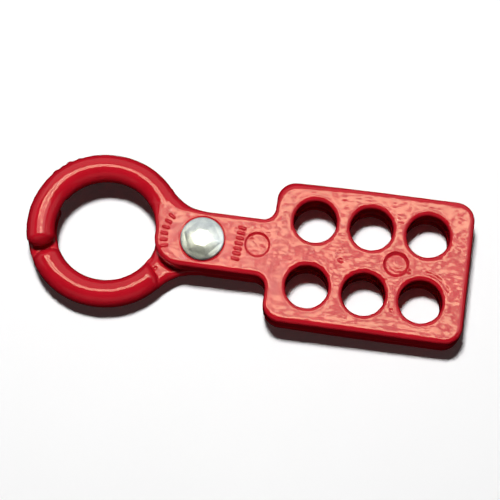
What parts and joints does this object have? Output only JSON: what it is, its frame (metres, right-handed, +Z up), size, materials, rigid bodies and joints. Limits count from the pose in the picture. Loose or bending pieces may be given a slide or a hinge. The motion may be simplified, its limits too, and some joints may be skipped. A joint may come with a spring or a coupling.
{
  "type": "lockout hasp",
  "caption": "Scissor-type safety lockout hasp: round hinged jaw, narrow neck and a flat handle with padlock holes through both halves, turning on one rivet.",
  "frame": {"origin": "bottom centre of the bounding box, with the hasp lying on its back and its front face up", "axes": "+X from the jaw to the end of the handle, +Y across the handle towards the front half's jaw arc, +Z up out of the front face along the rivet"},
  "size_m": [0.1124, 0.0394, 0.0136],
  "materials": {
    "red_coating": "thick dip-coated red skin, glossy, with a slight orange-peel ripple",
    "cast_metal": "plain as-cast, hidden under the coating",
    "zinc_plate": "bright zinc plate, satin to bright"
  },
  "bodies": {
    "back_half": {"back_jaw_core": "cast_metal", "back_jaw_coating": "red_coating", "pivot_rivet": "zinc_plate", "rivet_washer": "zinc_plate"},
    "front_half": {"front_jaw_core": "cast_metal", "front_jaw_coating": "red_coating"}
  },
  "joints": [
    {"name": "jaw_hinge", "type": "hinge", "parent": "back_half", "child": "front_half", "pos_m": [-0.01162, 0, 0.007], "axis": [0, 0, -1], "range_deg": [0, 90]}
  ]
}
